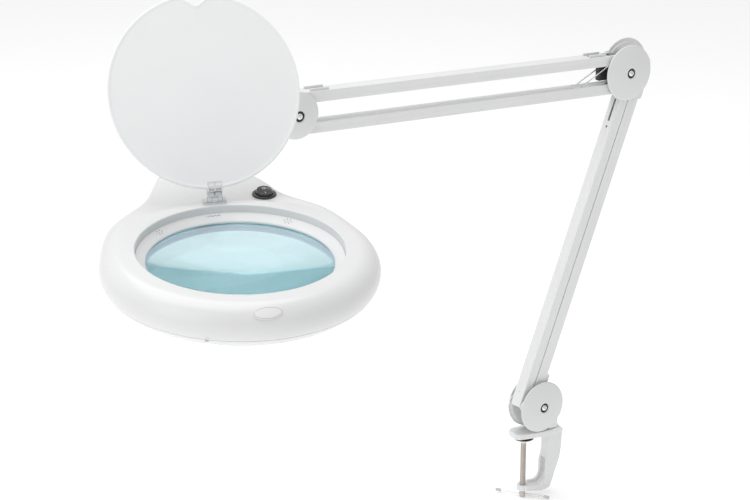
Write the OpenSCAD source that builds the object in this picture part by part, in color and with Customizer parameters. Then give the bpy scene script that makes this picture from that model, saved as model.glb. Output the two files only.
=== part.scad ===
// Clamp-on magnifying lamp: C-clamp, two parallelogram spring arms, three disc
// covered knuckles, a swivelling and tilting round LED head and a flip-up lid.
// Origin: on the flat underside of the clamp's upper jaw, in the plane of the arms.
// +Z is up, the arms lie in the XZ plane, the head hangs towards -X and -Y, and the
// clamp stands a little turned on its swivel.

/* [Clamp] */
// Thickness of the upper jaw plate
jaw_t = 7; // [6:0.5:8]
// Width of the upper jaw plate
jaw_w = 31; // [28:1:34]
// Widest board that the clamp takes
clamp_open = 65; // [60:1:68]
// Diameter of the clamp screw
screw_d = 7; // [6:0.5:8]
// Diameter of the swivel pin that carries the arms
swivel_d = 10; // [8:0.5:10.5]

/* [Arms] */
// Lower arm, pivot to pivot
lower_len = 414; // [380:1:450]
// Upper arm, pivot to pivot
upper_len = 442; // [400:1:480]
// Lean of the lower arm from upright
lower_lean = 21.4; // [21:0.1:24]
// Rise of the upper arm towards the head
upper_rise = 2.66; // [0:0.1:6]
// Depth of a bar across the arm
bar_h = 12; // [11:0.1:12.4]
// Width of an upper bar along the pivots
bar_w = 19; // [18:0.5:19]
// Width of a lower bar along the pivots
lower_w = 16; // [15.5:0.5:17]
// Sheet thickness of the bars
bar_t = 1.2; // [1:0.1:1.4]

/* [Knuckles] */
// Radius of the base knuckle's covers
base_cover_r = 31.5; // [30:0.5:33]
// Radius of the elbow's covers
elbow_cover_r = 33; // [32:0.5:35]
// Radius of the head knuckle's covers
head_cover_r = 26; // [25:0.5:28]
// Height of a cover's dome above its rim
cover_dome = 4.6; // [4:0.2:5.4]

/* [Head] */
// Outer radius of the round head
head_r = 132; // [130:1:136]
// Radius of the head's rounded edge
edge_r = 21; // [20:0.5:22]
// Visible radius of the lens
lens_r = 88.6; // [87:0.2:90]
// Distance from the lens centre to the tilt bolt
neck_len = 245; // [240:1:255]
// Radius of the flip-up lid
lid_r = 95.5; // [94:0.5:96]
// Number of light-emitting diodes on the ring
led_count = 60; // [30:2:60]

/* [Hidden] */

// Shared fits: a pin in its bore, and a bar beside a cheek plate.
fit = 0.05;
cheek_y = bar_w / 2 + 0.5;
cheek_t = 2;
cover_y = cheek_y + cheek_t;
pin_r = 2;
bush_r = 3.5;
end_r = bar_h / 2;

// Unit vectors along the arms, in X and Z.
lower_dir = [sin(lower_lean), cos(lower_lean)];
upper_dir = [-cos(upper_rise), sin(upper_rise)];

// Pivot places in X and Z, from the base to the head.
base_c = [17.8, 40.1];
base_main = base_c + [-24.7, 6];
lower_pair = [19.1, 13.1];
base_guide = base_main + lower_pair;
elbow_main = base_main + lower_len * lower_dir;
elbow_guide = elbow_main + lower_pair;
elbow_c = elbow_main + [-9.2, 4.4];
elbow_back_c = elbow_c + [14.5, 2];
upper_pair = [0, 34];
elbow_low = elbow_c + [-15.6, -17.4];
elbow_high = elbow_low + upper_pair;
knuckle_low = elbow_low + upper_len * upper_dir;
knuckle_high = knuckle_low + upper_pair;
knuckle_c = knuckle_low + upper_pair / 2 + [-2.4, -0.2];

// Clamp.
swivel_x = 42;
clamp_turn = -8;
screw_gap = 37.5;
swivel_r = swivel_d / 2;
bush_t = 1;
pin_depth = 30;
spine_x = 30.5;
spine_w = 20;
boss_h = 7;
base_boss_r = 7.2;
screw_r = screw_d / 2;
pad_gap = 2.1;
pad_r = 12.5;
pad_t = 1;
cup_t = 1;
cup_h = 5.5;
ball_r = 3;
tommy_z = -clamp_open - boss_h - 5.5;
tommy_len = 62;
tommy_r = 1.25;
tommy_turn = -47;

// Spring block of the elbow.
block_x = 97.5;
block_z = [429.6, 445.6];
anchor = elbow_c + [-22, 11.4];
slot_half = 6.4;
rod_back = 63;
spring_y = 4.2;
lower_spring_y = 3.3;
spring_r = 3.1;
guide_rise = 2.2;
hub = elbow_c + [-8.5, 0];
spacer_at = elbow_c + [10, 19.5];

// Head.
tilt_at = [knuckle_c[0] - 132.5, 0, knuckle_c[1] - 39.2];
head_yaw = -17.3;
head_pitch = 6.3;
mid_z = -8;
rim_z = 14;
rim_r = 98.5;
part_z = -18;
shell_t = 2.4;
edge_c = [head_r - edge_r, rim_z - edge_r];
neck_half = 11;
shell_screw_r = 1.4;
hinge_y = 105;
hinge_z = 18;
lid_t = 3;
lid_z = 4.5;
leaf_w = 14.6;
lid_open = 118;
lid_c = 105.5;
switch_at = [54, 121];
switch_r = 12.2;
switch_z = 11.4;
rocker_z = switch_z + 1;
rocker_r = 8.8;
rocker_lean = 10;
fork_gap = 0.4;
fork_in = 16.5;
fork_top = 21;
fork_half = 8.5;
boss_z0 = fork_top + 8;
boss_z1 = fork_top + 32;

// ---- shared shapes ----

// A cylinder along Y at a pivot given in X and Z.
module y_rod(at, r, y0, y1) {
    translate([at[0], y0, at[1]]) rotate([-90, 0, 0]) cylinder(r = r, h = y1 - y0, $fn = 48);
}

// A plate in the XZ plane from y0 to y1.
module y_plate(y0, y1) {
    translate([0, y1, 0]) rotate([90, 0, 0]) linear_extrude(y1 - y0) children();
}

// A band with round ends between two points.
module band(a, b, r) {
    d = b - a;
    translate(a) circle(r = r, $fn = 48);
    translate(b) circle(r = r, $fn = 48);
    translate(a) rotate(atan2(d[1], d[0])) translate([0, -r]) square([norm(d), 2 * r]);
}

// A channel bar along +X, open at the bottom, web on top. Each slot is [from, to, half width],
// w is the bar's width and rise lifts the web.
module bar(len, slots = [], w = bar_w, rise = 0) {
    difference() {
        y_plate(-w / 2, w / 2) {
            band([0, 0], [len, 0], end_r);
            if (rise > 0) {
                band([0, rise], [len, rise], end_r);
                translate([-end_r, 0]) square([len + 2 * end_r, rise]);
            }
        }
        translate([-end_r - 1, -w / 2 + bar_t, -end_r - 1])
            cube([len + 2 * end_r + 2, w - 2 * bar_t, bar_h + rise + 1 - bar_t]);
        for (x = [0, len]) y_rod([x, 0], bush_r - 1, -bar_w, bar_w);
        for (c = slots) translate([c[0], -c[2], end_r - bar_t - 1]) cube([c[1] - c[0], 2 * c[2], 9]);
    }
}

// The two bushes of a bar, pressed through its side walls, with collars up to the cheeks.
module bushes(len, w = bar_w) {
    for (x = [0, len]) difference() {
        union() {
            y_rod([x, 0], bush_r - 1, -bar_w / 2 - 0.4, bar_w / 2 + 0.4);
            y_rod([x, 0], bush_r, -w / 2 + bar_t, w / 2 - bar_t);
            if (w < bar_w) for (s = [-1, 1])
                y_rod([x, 0], bush_r, s > 0 ? w / 2 : -bar_w / 2 - 0.4, s > 0 ? bar_w / 2 + 0.4 : -w / 2);
        }
        y_rod([x, 0], pin_r + fit, -bar_w, bar_w);
    }
}

module in_lower(at) {
    translate([at[0], 0, at[1]]) rotate([0, lower_lean - 90, 0]) children();
}

// The upper arm's bars start at the head knuckle and run to the elbow.
module in_upper(at) {
    translate([at[0], 0, at[1]]) rotate([0, upper_rise, 0]) children();
}

// A domed round cover, rim at z = 0, with its screw's seat in the middle.
module cover(r) {
    rim = 1.6;
    skin = 1.6;
    ball = (r * r + cover_dome * cover_dome) / (2 * cover_dome);
    difference() {
        intersection() {
            cylinder(r = r, h = rim + cover_dome, $fn = 96);
            translate([0, 0, rim + cover_dome - ball]) sphere(r = ball, $fn = 96);
        }
        difference() {
            intersection() {
                translate([0, 0, -1]) cylinder(r = r - skin, h = 20, $fn = 96);
                translate([0, 0, rim + cover_dome - ball - skin]) sphere(r = ball, $fn = 96);
            }
            cylinder(r = 6, h = 30, $fn = 48);
        }
        translate([0, 0, rim + cover_dome - 3]) cylinder(r1 = 4, r2 = 7, h = 3.01, $fn = 48);
        translate([0, 0, -1]) cylinder(r = 2.05, h = 20, $fn = 32);
    }
}

// The cover's screw: a round head with a hexagon socket, and its shank.
module cover_screw() {
    rim_top = 1.6 + cover_dome;
    difference() {
        union() {
            translate([0, 0, rim_top - 3]) cylinder(r = 3.6, h = 2.2, $fn = 48);
            translate([0, 0, 0.1 - cheek_t]) cylinder(r = 2, h = rim_top + cheek_t - 3, $fn = 32);
        }
        translate([0, 0, rim_top - 2]) cylinder(r = 1.8, h = 2, $fn = 6);
    }
}

// Puts a cover or screw on the front (-Y) or back (+Y) side at a place in X and Z.
module on_side(at, side) {
    translate([at[0], side * cover_y, at[1]]) rotate([-90 * side, 0, 0]) children();
}

// ---- clamp ----

// The clamp's own frame has the screw on its Z axis and the spine towards +X.
module in_clamp() {
    translate([swivel_x, 0, 0]) rotate([0, 0, clamp_turn]) translate([-screw_gap, 0, 0]) children();
}

// Side view of the C-shaped casting in X and Z.
module clamp_profile() {
    low = -clamp_open;
    bot = low - boss_h;
    polygon([[-16.5, 0], [-16.5, jaw_t - 1], [-15.5, jaw_t], [45, jaw_t], [48.5, jaw_t - 3], [48, -14],
        [46, -32], [40, -50], [35.5, low + 1], [33, bot + 1], [28.5, bot - 1.3], [21, bot - 2],
        [8, bot], [-7.3, bot], [-7.3, low + 1], [-6.3, low], [19.5, low], [24.5, low + 3],
        [26.8, low + 10], [27, low + 24], [spine_x, low + 40], [spine_x, 0]]);
}

// Plan of the upper jaw, with a narrow front end.
module jaw_plan() {
    half = jaw_w / 2;
    near = [[-16.5, half - 7.8], [-12, half - 3.2], [15, half], [30, half - 0.5], [38, 12], [49.5, 11]];
    polygon(concat(near, [for (i = [5 : -1 : 0]) [near[i][0], -near[i][1]]]));
}

module clamp_frame() color("white") in_clamp() {
    low = -clamp_open;
    difference() {
        union() {
            intersection() {
                y_plate(-jaw_w / 2, jaw_w / 2) clamp_profile();
                union() {
                    linear_extrude(jaw_t) jaw_plan();
                    translate([0, -spine_w / 2, low - boss_h - 3])
                        cube([60, spine_w, clamp_open + boss_h + 3.5]);
                }
            }
            translate([0, 0, low - boss_h]) cylinder(r = 7.3, h = boss_h, $fn = 64);
        }
        translate([0, 0, low - 20]) cylinder(r = screw_r + fit, h = 40, $fn = 64);
        translate([screw_gap, 0, jaw_t - pin_depth])
            cylinder(r = swivel_r + bush_t, h = pin_depth + 1, $fn = 64);
        // The casting's hollow between two ribs.
        translate([9.5, -spine_w / 2 + 4.5, low - 3.5]) cube([14, spine_w - 9, 10]);
        y_plate(-spine_w / 2 + 4.5, spine_w / 2 - 4.5)
            polygon([[17, low - 3.5], [23, low - 3.5], [29, low + 3], [33.5, low + 18],
                [33, low + 30], [25, low + 30], [17, low + 6]]);
    }
}

module swivel_bush() color("silver") in_clamp() difference() {
    union() {
        translate([screw_gap, 0, jaw_t - pin_depth])
            cylinder(r = swivel_r + bush_t, h = pin_depth, $fn = 64);
        translate([screw_gap, 0, jaw_t]) cylinder(r = 8.5, h = 1, $fn = 64);
    }
    translate([screw_gap, 0, jaw_t - pin_depth - 1])
        cylinder(r = swivel_r + fit, h = pin_depth + 4, $fn = 64);
}

// Thin steel cup with a small boss that the screw's ball end turns in.
module pad_cup() color("gray") in_clamp() translate([0, 0, -pad_gap - pad_t]) difference() {
    union() {
        translate([0, 0, -cup_t]) cylinder(r = pad_r, h = cup_t, $fn = 64);
        translate([0, 0, -cup_h]) cylinder(r = 4.6, h = cup_h - 0.5, $fn = 64);
    }
    translate([0, 0, -cup_h + 1]) cylinder(r = ball_r + fit, h = cup_h - 1.5, $fn = 48);
    translate([0, 0, -cup_h - 1]) cylinder(r = 2 + fit, h = cup_h, $fn = 48);
}

module pad_face() color("black") in_clamp()
    translate([0, 0, -pad_gap - pad_t]) cylinder(r = pad_r, h = pad_t, $fn = 64);

module clamp_screw() color("silver") in_clamp() {
    top = -pad_gap - pad_t;
    difference() {
        union() {
            translate([0, 0, tommy_z - 3.5])
                cylinder(r = screw_r, h = top - cup_h - 0.05 - tommy_z + 3.5, $fn = 64);
            translate([0, 0, top - cup_h - 1]) cylinder(r = 2, h = cup_h - 1, $fn = 48);
            translate([0, 0, top - cup_h + 1.05]) cylinder(r = ball_r, h = cup_h - 1.6, $fn = 48);
        }
        translate([0, 0, tommy_z]) rotate([0, 0, tommy_turn]) rotate([0, 90, 0])
            translate([0, 0, -10]) cylinder(r = tommy_r + fit, h = 20, $fn = 32);
    }
}

module along_tommy() {
    in_clamp() translate([0, 0, tommy_z]) rotate([0, 0, tommy_turn]) rotate([0, 90, 0]) children();
}

module tommy_bar() color("silver") {
    along_tommy() translate([0, 0, -tommy_len / 2]) cylinder(r = tommy_r, h = tommy_len, $fn = 32);
}

module tommy_bar_ends() color("gray") {
    for (s = [-1, 1]) along_tommy() translate([0, 0, s * (tommy_len / 2 - 0.5)]) difference() {
        translate([0, 0, -3.5]) cylinder(r = 2, h = 7, $fn = 32);
        translate([0, 0, s > 0 ? -4 : -0.5]) cylinder(r = tommy_r, h = 4.5, $fn = 32);
    }
}

// ---- base knuckle ----

module base_cheek() {
    circle_r = base_cover_r - 3;
    translate(base_c) circle(r = circle_r, $fn = 96);
    band(base_main, base_c, 7);
    translate([swivel_x - 12, jaw_t + 1.1]) square([12.8, base_c[1] - jaw_t - 1.1]);
}

module base_yoke() color("white") {
    difference() {
        union() {
            y_plate(-cover_y, -cheek_y) base_cheek();
            y_plate(cheek_y, cover_y) base_cheek();
            translate([swivel_x, 0, jaw_t + 1.02]) cylinder(r = base_boss_r, h = 18, $fn = 64);
            y_plate(-cover_y, cover_y) translate([swivel_x - 10, jaw_t + 5]) square([10.8, 24]);
            translate([swivel_x, 0, jaw_t - pin_depth + 1])
                cylinder(r = swivel_r, h = pin_depth + 2, $fn = 64);
        }
        for (p = [base_main, base_guide]) y_rod(p, pin_r, -30, 30);
        y_rod(base_c, 2, -30, 30);
    }
}

module pins(places) {
    for (p = places) y_rod(p, pin_r, -cover_y, cover_y);
}

module base_pivot_pins() color("silver") pins([base_main, base_guide]);
module base_front_cover() color("white") on_side(base_c, -1) cover(base_cover_r);
module base_back_cover() color("white") on_side(base_c, 1) cover(base_cover_r);
module base_cover_screws() color("silver") for (s = [-1, 1]) on_side(base_c, s) cover_screw();

// ---- lower arm ----

module lower_main_bar() color("white") in_lower(base_main) difference() {
    bar(lower_len, [[lower_len - 60, lower_len - 33, 1.6], [lower_len - 14, lower_len + 10, slot_half]],
        lower_w);
    for (x = [14, lower_len - 67]) translate([x, 0, 0]) cylinder(r = 1.5, h = 20, $fn = 32);
}

module lower_main_bushes() color("gray") in_lower(base_main) bushes(lower_len, lower_w);

// One pair of extension springs inside a channel, as plain tubes of their outer size.
module spring_pair(x0, x1, apart) {
    for (y = [-apart, apart]) translate([x0, y, -0.6]) rotate([0, 90, 0]) difference() {
        cylinder(r = spring_r, h = x1 - x0, $fn = 48);
        translate([0, 0, -1]) cylinder(r = spring_r - 1.1, h = x1 - x0 + 2, $fn = 48);
    }
}

// The rods from the springs' near ends back to a cross pin.
module back_rods(apart) {
    for (y = [-apart, apart]) translate([20, y, -0.6]) rotate([0, 90, 0])
        cylinder(r = 0.8, h = 90.5, $fn = 24);
    translate([20, 0, -0.6]) rotate([90, 0, 0])
        cylinder(r = 1.2, h = 2 * apart + 4, center = true, $fn = 24);
}

module lower_springs() color("silver") in_lower(base_main)
    spring_pair(110, lower_len - 80, lower_spring_y);

module lower_spring_rods() color("silver") in_lower(base_main) {
    for (y = [-lower_spring_y, lower_spring_y]) translate([lower_len - 80.5, y, -0.6])
        rotate([0, 90, 0]) cylinder(r = 0.8, h = 71, $fn = 24);
    back_rods(lower_spring_y);
}

module lower_guide_bar() color("white") in_lower(base_guide)
    mirror([0, 0, 1]) bar(lower_len, [], lower_w, guide_rise);

module lower_guide_bushes() color("gray") in_lower(base_guide) bushes(lower_len, lower_w);

// Two rails that hold the supply lead along a bar's web, with bars across them.
module cable_guide(x0, len) {
    z = end_r + guide_rise;
    for (s = [-1, 1]) translate([x0, s * 6.4 - 1.2, 0]) {
        y_plate(0, 2.4) {
            translate([0, z]) square([len, 2]);
            translate([2.5, z]) square([len - 5, 4.4]);
            for (x = [2.5, len - 2.5]) translate([x, z + 1.9]) circle(r = 2.5, $fn = 32);
        }
    }
}

module lower_cable_guides() color("white") in_lower(base_guide) mirror([0, 0, 1])
    difference() {
        for (x = [9, lower_len - 44]) cable_guide(x, 15);
        translate([0, -10, end_r]) cube([lower_len, 20, guide_rise]);
    }

// ---- elbow ----

module elbow_cheek(back) {
    if (back) {
        translate(elbow_back_c) circle(r = elbow_cover_r - 4, $fn = 96);
        band(elbow_low, elbow_back_c, 7);
        band(elbow_high, elbow_back_c, 7);
        translate(elbow_low) square([20, 34]);
    } else {
        translate(elbow_c) circle(r = elbow_cover_r - 3, $fn = 96);
        translate(elbow_guide) circle(r = 3.4, $fn = 48);
    }
}

module elbow_yoke() color("white") {
    difference() {
        union() {
            y_plate(-cover_y, -cheek_y) elbow_cheek(false);
            y_plate(cheek_y, cover_y) elbow_cheek(true);
            y_rod(spacer_at, 4, -cheek_y - 1, cheek_y + 1);
        }
        for (p = [elbow_low, elbow_high, elbow_main, elbow_guide, hub]) y_rod(p, pin_r, -30, 30);
        y_rod(elbow_c, 2, -30, 0);
        y_rod(elbow_back_c, 2, 0, 30);
    }
}

// Black spring block between the cheeks: a hub, a tongue and the anchor for the rods.
module elbow_block() color("black") {
    difference() {
        union() {
            y_rod(hub, 5, -cheek_y, cheek_y);
            y_plate(-3.4, 3.4) translate([block_x, block_z[0]])
                square([hub[0] - block_x, block_z[1] - block_z[0]]);
            y_rod(anchor, 1.5, -6.4, 6.4);
            y_rod(anchor, 2.6, -3.4, 3.4);
        }
        y_rod(hub, pin_r, -30, 30);
    }
}

module elbow_pivot_pins() color("silver")
    pins([elbow_low, elbow_high, elbow_main, elbow_guide, hub]);
module elbow_front_cover() color("white") on_side(elbow_c, -1) cover(elbow_cover_r);
module elbow_back_cover() color("white") on_side(elbow_back_c, 1) cover(elbow_cover_r);
module elbow_cover_screws() color("silver") {
    on_side(elbow_c, -1) cover_screw();
    on_side(elbow_back_c, 1) cover_screw();
}

// ---- upper arm ----

module upper_main_bar() color("white") in_upper(knuckle_low)
    bar(upper_len, [[upper_len - 57, upper_len + 10, slot_half]]);

module upper_main_bushes() color("gray") in_upper(knuckle_low) bushes(upper_len);
module upper_springs() color("silver") in_upper(knuckle_low)
    spring_pair(110, upper_len - rod_back, spring_y);

// Rods from the springs up through the slot to the block's anchor, and back to a cross pin.
module upper_spring_rods() color("silver") {
    in_upper(knuckle_low) back_rods(spring_y);
    start = knuckle_low - (upper_len - rod_back) * upper_dir + [0, -0.6];
    d = anchor - start;
    for (y = [-5.2, 5.2]) translate([start[0], y, start[1]])
        rotate([0, 90 - atan2(d[1], d[0]), 0]) cylinder(r = 0.8, h = norm(d) - 1.6, $fn = 24);
}

module upper_guide_bar() color("white") in_upper(knuckle_high)
    bar(upper_len, [[upper_len - 38, upper_len + 10, 4.2], [upper_len - 13, upper_len + 10, 6.8]]);

module upper_guide_bushes() color("gray") in_upper(knuckle_high) bushes(upper_len);

module upper_cable_guides() color("white") in_upper(knuckle_high)
    for (x = [17, upper_len - 40]) {
        for (y = [-6, 6]) translate([x, y - 1, end_r]) cube([24, 2, 2.6]);
    }

// ---- head knuckle and bracket ----

module knuckle_cheek() {
    translate(knuckle_c) circle(r = head_cover_r - 2.5, $fn = 96);
}

module head_knuckle_yoke() color("white") difference() {
    union() {
        y_plate(-cover_y, -cheek_y) knuckle_cheek();
        y_plate(cheek_y, cover_y) knuckle_cheek();
        y_plate(-cheek_y - 1, cheek_y + 1) translate(knuckle_c + [-20, -9]) square([9, 18]);
    }
    for (p = [knuckle_low, knuckle_high]) y_rod(p, pin_r, -30, 30);
    y_rod(knuckle_c, 2, -30, 30);
    translate([knuckle_c[0] - 40, 0, knuckle_c[1]]) rotate([0, 90, 0])
        cylinder(r = 3, h = 35, $fn = 48);
}

module head_knuckle_pins() color("silver") pins([knuckle_low, knuckle_high]);
module head_front_cover() color("white") on_side(knuckle_c, -1) cover(head_cover_r);
module head_back_cover() color("white") on_side(knuckle_c, 1) cover(head_cover_r);
module head_cover_screws() color("silver") for (s = [-1, 1]) on_side(knuckle_c, s) cover_screw();

// A bent bar from the knuckle to the vertical boss over the head's neck.
module head_bracket() color("white") {
    z0 = tilt_at[2] + boss_z0;
    z1 = tilt_at[2] + boss_z1;
    x1 = knuckle_c[0] - 20.02;
    zc = knuckle_c[1];
    difference() {
        union() {
            translate([tilt_at[0], 0, z0]) cylinder(r = 12, h = z1 - z0, $fn = 64);
            y_plate(-7, 7) polygon([[tilt_at[0], z0 + 2], [x1 - 12, zc - 9], [x1, zc - 9],
                [x1, zc + 9], [x1 - 14, zc + 9], [tilt_at[0], z1 - 2]]);
            translate([x1, 0, zc]) rotate([0, -90, 0]) cylinder(r = 9.6, h = 6, $fn = 64);
            translate([x1 - 0.01, 0, zc]) rotate([0, 90, 0]) cylinder(r = 3, h = 8.5, $fn = 48);
        }
        translate([tilt_at[0], 0, z0 - 1]) cylinder(r = 5 + fit, h = 40, $fn = 64);
    }
}

// ---- head fork: swivels in the bracket's boss and holds the neck's bolt ----

module in_fork() {
    translate(tilt_at) rotate([0, 0, head_yaw]) children();
}

module head_fork() color("white") in_fork() {
    difference() {
        union() {
            for (s = [-1, 1]) translate([s * (fork_in + 2), 0, 0]) {
                rotate([0, 90, 0]) cylinder(r = fork_half, h = 4, center = true, $fn = 64);
                translate([-2, -fork_half, 0]) cube([4, 2 * fork_half, fork_top + 6]);
            }
            translate([-fork_in - 4, -fork_half, fork_top]) cube([2 * fork_in + 8, 2 * fork_half, 6]);
            translate([0, 0, fork_top + 2]) cylinder(r = fork_half, h = 5.95, $fn = 64);
            translate([0, 0, fork_top + 2]) cylinder(r = 5, h = boss_z1 + 4.5 - fork_top - 2, $fn = 64);
        }
        rotate([0, 90, 0]) cylinder(r = 3 + fit, h = 80, center = true, $fn = 48);
    }
}

// Retaining washer and nut over the boss, on the fork's pin.
module fork_washer() color("silver") in_fork() difference() {
    union() {
        translate([0, 0, boss_z1 + 0.05]) cylinder(r = 9, h = 1.4, $fn = 64);
        translate([0, 0, boss_z1 + 1.4]) cylinder(r = 7.5, h = 4.6, $fn = 6);
    }
    translate([0, 0, boss_z1 - 5]) cylinder(r = 5, h = 9.5, $fn = 64);
}

module tilt_bolt() color("silver") in_fork() rotate([0, 90, 0]) {
    translate([0, 0, -fork_in - 4 - 3]) cylinder(r = 5.5, h = 2.95, $fn = 6);
    translate([0, 0, -fork_in - 4.5]) cylinder(r = 3, h = 2 * fork_in + 22, $fn = 48);
}

module tilt_knob() color("black") in_fork() rotate([0, 90, 0]) difference() {
    union() {
        translate([0, 0, fork_in + 4.1]) cylinder(r = 8, h = 5, $fn = 64);
        translate([0, 0, fork_in + 8]) cylinder(r = 15, h = 13, $fn = 96);
    }
    translate([0, 0, fork_in]) cylinder(r = 3 + fit, h = 17.6, $fn = 48);
    for (a = [0 : 45 : 359])
        rotate([0, 0, a]) translate([17.2, 0, fork_in]) cylinder(r = 4, h = 30, $fn = 32);
}

// ---- head ----

module in_head() {
    translate(tilt_at) rotate([0, 0, head_yaw]) rotate([head_pitch, 0, 0])
        translate([0, -neck_len, -mid_z]) children();
}

// The head's rounded edge in section, radius and height, grown or shrunk by g.
module edge_section(g) {
    translate(edge_c) circle(r = edge_r + g, $fn = 96);
    translate([rim_r - g, edge_c[1] - 14]) square([edge_c[0] - rim_r + g, rim_z + g - edge_c[1] + 14]);
    translate([93 - g, edge_c[1] - edge_r - g]) square([edge_c[0] - 93 + g, 20]);
}

// The neck's outline in plan, from the round head to the tilt bolt, leaning a little to +X.
module neck_plan(g) {
    left = [[-118, 71], [-105, 98], [-84, 124], [-62, 150], [-42, 195], [-29, 223], [-23, 227]];
    right = [[35, 227], [42, 221], [56, 195], [74, 150], [89, 124], [105, 98], [118, 71]];
    difference() {
        polygon([for (p = concat(left, right)) [p[0] + sign(p[0]) * g, p[1] + g]]);
        circle(r = 104, $fn = 96);
    }
    translate([-13 - g, 200]) square([26 + 2 * g, neck_len - 200]);
}

module neck_section(g) {
    z0 = part_z - 8;
    translate([0, 0, z0 - g]) linear_extrude(11 - z0 + 2 * g) difference() {
        neck_plan(g);
        translate([-200, 223 + g]) square([400, 100]);
    }
    translate([0, 0, mid_z - neck_half + 1 - g]) linear_extrude(2 * neck_half - 2 + 2 * g) neck_plan(g);
}

module shell_solid(g) {
    rotate_extrude($fn = 180) edge_section(g);
    neck_section(g);
}

// Material below or above the parting plane.
module above(z) { translate([-300, -300, z]) cube([600, 700, 100]); }
module below(z) { translate([-300, -300, z - 100]) cube([600, 700, 100]); }

module head_upper_shell() color("white") in_head() difference() {
    union() {
        difference() {
            shell_solid(0);
            shell_solid(-shell_t);
            below(part_z);
            translate([0, 0, -60]) cylinder(r = rim_r, h = 100, $fn = 180);
        }
        // The recess wall, the lens ring's ledge, the lens seat and the tube under it.
        rotate_extrude($fn = 180) polygon([[rim_r, rim_z - 1.5], [rim_r, -3], [lens_r + 3.4, -3],
            [lens_r + 3.4, -5.7], [lens_r + 1, -5.7], [lens_r + 1, -28], [lens_r + 3.2, -28],
            [lens_r + 3.2, -8.2], [rim_r + 2, -8.2], [rim_r + 2, rim_z - 1.5]]);
        // The bolt's boss at the neck's end.
        translate([0, neck_len, mid_z]) rotate([0, 90, 0])
            cylinder(r = neck_half, h = 2 * (fork_in - fork_gap), center = true, $fn = 64);
    }
    translate([0, neck_len, mid_z]) rotate([0, 90, 0])
        cylinder(r = 3 + fit, h = 80, center = true, $fn = 48);
    translate([switch_at[0], switch_at[1], -10]) cylinder(r = switch_r - 1, h = 40, $fn = 64);
}

module head_lower_shell() color("white") in_head() difference() {
    union() {
        difference() {
            shell_solid(0);
            shell_solid(-shell_t);
            above(part_z - 0.02);
            translate([0, 0, -60]) cylinder(r = 122, h = 60 + edge_c[1] - edge_r + shell_t + 0.1, $fn = 180);
            translate([0, 0, -60]) cylinder(r = 96, h = 100, $fn = 180);
        }
        // The lip around the diffuser.
        difference() {
            intersection() {
                rotate_extrude($fn = 180) edge_section(0);
                rotate_extrude($fn = 180) translate([119.6, -28]) square([4.4, 9]);
            }
            above(part_z - 0.02);
        }
    }
    translate([0, neck_len, mid_z]) rotate([0, 90, 0])
        cylinder(r = neck_half + 0.4, h = 80, center = true, $fn = 64);
    at_screws(-40) cylinder(r = shell_screw_r + fit, h = 40, $fn = 32);
}

module at_screws(z) {
    for (a = [20 : 60 : 320]) translate([124 * cos(a), 124 * sin(a), z]) children();
}

module shell_screws() color("silver") in_head()
    at_screws(-22) cylinder(r = shell_screw_r, h = 9, $fn = 32);

// A double convex lens with a thin flange.
module lens() color("lightcyan") in_head() {
    top_sag = 7;
    low_sag = 13;
    rf = lens_r + 2.6;
    top_r = (rf * rf + top_sag * top_sag) / (2 * top_sag);
    low_r = (rf * rf + low_sag * low_sag) / (2 * low_sag);
    intersection() {
        translate([0, 0, -30]) cylinder(r = rf, h = 60, $fn = 180);
        translate([0, 0, -2 + top_sag - top_r]) sphere(r = top_r, $fn = 180);
        translate([0, 0, -5 - low_sag + low_r]) sphere(r = low_r, $fn = 180);
    }
}

// Sloping ring that holds the lens from above.
module lens_ring() color("white") in_head() difference() {
    rotate_extrude($fn = 180) polygon([[lens_r, 0], [lens_r + 0.6, 0.8], [rim_r - 0.3, 6.4],
        [rim_r - 0.3, -2.9], [lens_r + 2.9, -2.9], [lens_r + 2.9, -1.2], [lens_r, -1.2]]);
}

module led_board() color("white") in_head() difference() {
    translate([0, 0, -18.4]) cylinder(r = 118, h = 1.6, $fn = 180);
    translate([0, 0, -30]) cylinder(r = 94.5, h = 40, $fn = 180);
}

module leds() color("lightyellow") in_head()
    for (i = [0 : led_count - 1]) rotate([0, 0, i * 360 / led_count])
        translate([106 - 1.75, -1.4, -19.6]) cube([3.5, 2.8, 1.2]);

module diffuser() color("whitesmoke") in_head() difference() {
    translate([0, 0, -27.6]) cylinder(r = 119.5, h = 1.8, $fn = 180);
    translate([0, 0, -40]) cylinder(r = lens_r + 5.3, h = 40, $fn = 180);
}

// Blank oval plate on the front edge, hollowed behind to fit the round edge.
module blank_badge() color("silver") in_head() {
    slope = 45;
    difference() {
        translate([-6.5, -edge_c[0] - edge_r * cos(slope), edge_c[1] + edge_r * sin(slope)])
            rotate([slope, 0, 0]) {
                translate([-7.5, -6, -1.8]) cube([15, 12, 2.6]);
                for (s = [-7.5, 7.5]) translate([s, 0, -1.8]) cylinder(r = 6, h = 2.6, $fn = 48);
            }
        rotate_extrude($fn = 180) translate(edge_c) circle(r = edge_r + 0.02, $fn = 96);
    }
}

// ---- switch ----

module switch_body() color("black") in_head() translate([switch_at[0], switch_at[1], 0]) difference() {
    union() {
        translate([0, 0, switch_z + 0.02]) cylinder(r = switch_r, h = 1.6, $fn = 96);
        translate([0, 0, -8]) cylinder(r = switch_r - 1.05, h = switch_z + 9, $fn = 96);
    }
    translate([0, 0, 2.5]) cylinder(r = rocker_r + 0.3, h = 30, $fn = 96);
}

// A ball-sided button whose flat top leans one way or the other.
module switch_rocker() color("black") in_head() translate([switch_at[0], switch_at[1], rocker_z]) {
    intersection() {
        sphere(r = rocker_r, $fn = 96);
        rotate([rocker_lean, 0, 0]) translate([-10, -10, -9]) cube([20, 20, 13]);
    }
}

// ---- lid ----

module in_hinge() {
    in_head() translate([0, hinge_y, hinge_z]) children();
}

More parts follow.
